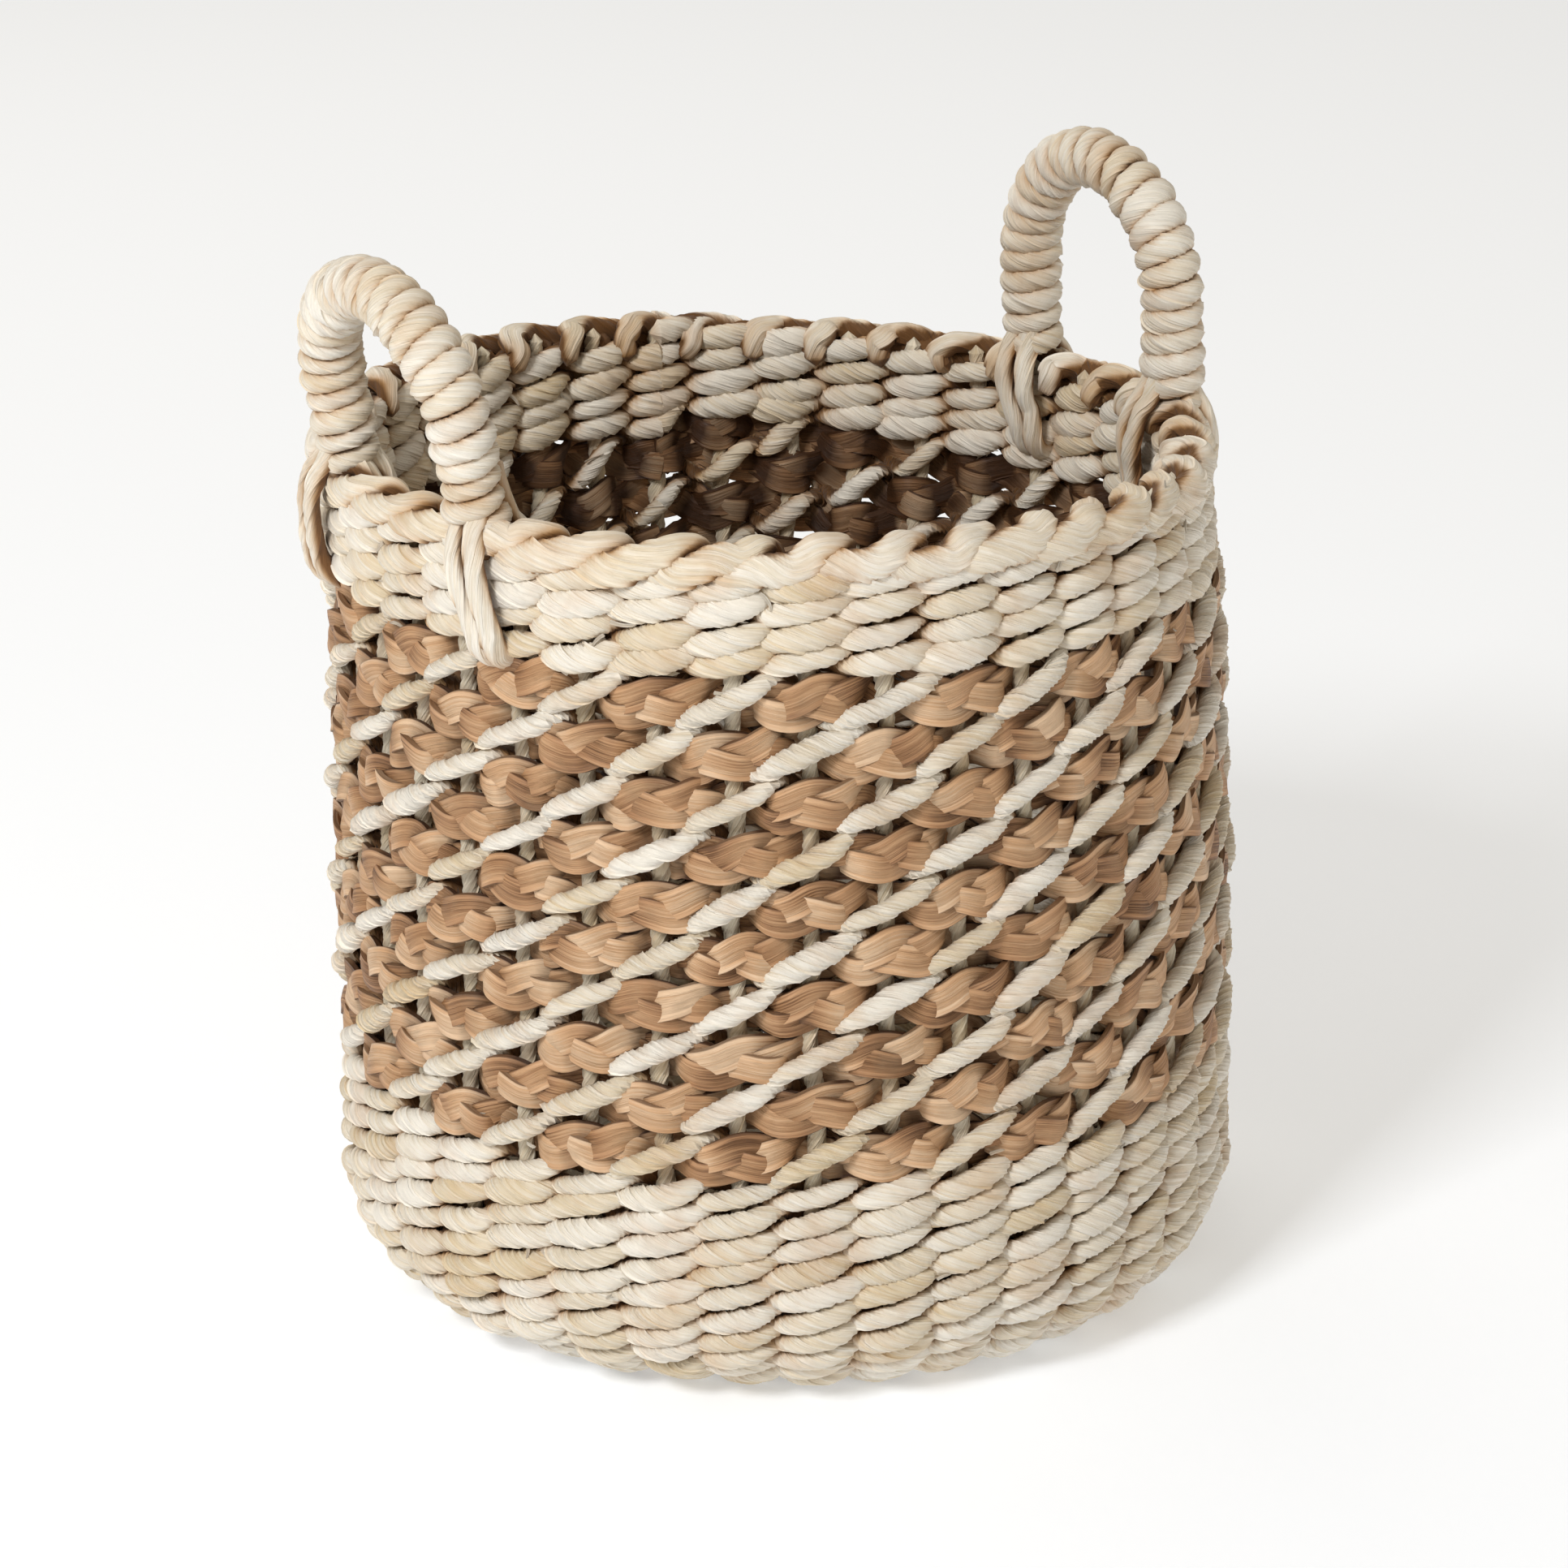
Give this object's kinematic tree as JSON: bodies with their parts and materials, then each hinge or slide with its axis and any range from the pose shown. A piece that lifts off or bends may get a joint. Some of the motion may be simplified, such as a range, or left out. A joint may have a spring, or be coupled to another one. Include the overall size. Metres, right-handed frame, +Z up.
{
  "type": "woven basket",
  "caption": "Round open basket of twined leaf cord on upright stakes, with a plaited brown band, a folded rim and opposed wrapped handles for storing and carrying things.",
  "frame": {"origin": "centre of the underside of the base, on the floor", "axes": "+Z up; +X towards the right handle, -X towards the left handle"},
  "size_m": [0.3056, 0.304, 0.3691],
  "materials": {
    "cream_cord": "matt twisted leaf cord, cream",
    "brown_plait": "satin plaited dried leaf, brown",
    "stake_cord": "matt twisted leaf cord, straw",
    "handle_cord": "matt wound leaf cord, pale cream"
  },
  "bodies": {
    "basket": {"base_cross": "stake_cord", "base_round_01": "cream_cord", "base_round_02": "cream_cord", "base_round_03": "cream_cord", "base_round_04": "cream_cord", "base_round_05": "cream_cord", "base_round_06": "cream_cord", "base_round_07": "cream_cord", "base_round_08": "cream_cord", "base_round_09": "cream_cord", "base_round_10": "cream_cord", "stakes": "stake_cord", "corner_row_01": "cream_cord", "corner_row_02": "cream_cord", "corner_row_03": "cream_cord", "corner_row_04": "cream_cord", "corner_row_05": "cream_cord", "corner_row_06": "cream_cord", "corner_row_07": "cream_cord", "lower_row_01": "cream_cord", "lower_row_02": "cream_cord", "lower_row_03": "cream_cord", "lower_row_04": "cream_cord", "lower_row_05": "cream_cord", "middle_row_01": "brown_plait", "middle_row_02": "brown_plait", "middle_row_03": "brown_plait", "middle_row_04": "brown_plait", "middle_row_05": "brown_plait", "middle_row_06": "brown_plait", "middle_row_07": "brown_plait", "middle_row_08": "brown_plait", "middle_row_09": "brown_plait", "middle_row_10": "brown_plait", "upper_row_01": "cream_cord", "upper_row_02": "cream_cord", "upper_row_03": "cream_cord", "upper_row_04": "cream_cord", "rim_border": "cream_cord", "left_handle_front_ties": "handle_cord", "left_handle_rear_ties": "handle_cord", "right_handle_front_ties": "handle_cord", "right_handle_rear_ties": "handle_cord"},
    "left_handle": {"left_handle_core": "stake_cord", "left_handle_winding": "handle_cord"},
    "right_handle": {"right_handle_core": "stake_cord", "right_handle_winding": "handle_cord"}
  },
  "joints": [
    {"name": "left_handle_bend", "type": "hinge", "parent": "basket", "child": "left_handle", "pos_m": [-0.13159, 0, 0.29217], "axis": [0, 1, 0], "range_deg": [-15, 30], "stiffness_Nm_per_rad": 1},
    {"name": "right_handle_bend", "type": "hinge", "parent": "basket", "child": "right_handle", "pos_m": [0.13159, 0, 0.29217], "axis": [0, 1, 0], "range_deg": [-25, 20], "stiffness_Nm_per_rad": 1}
  ]
}
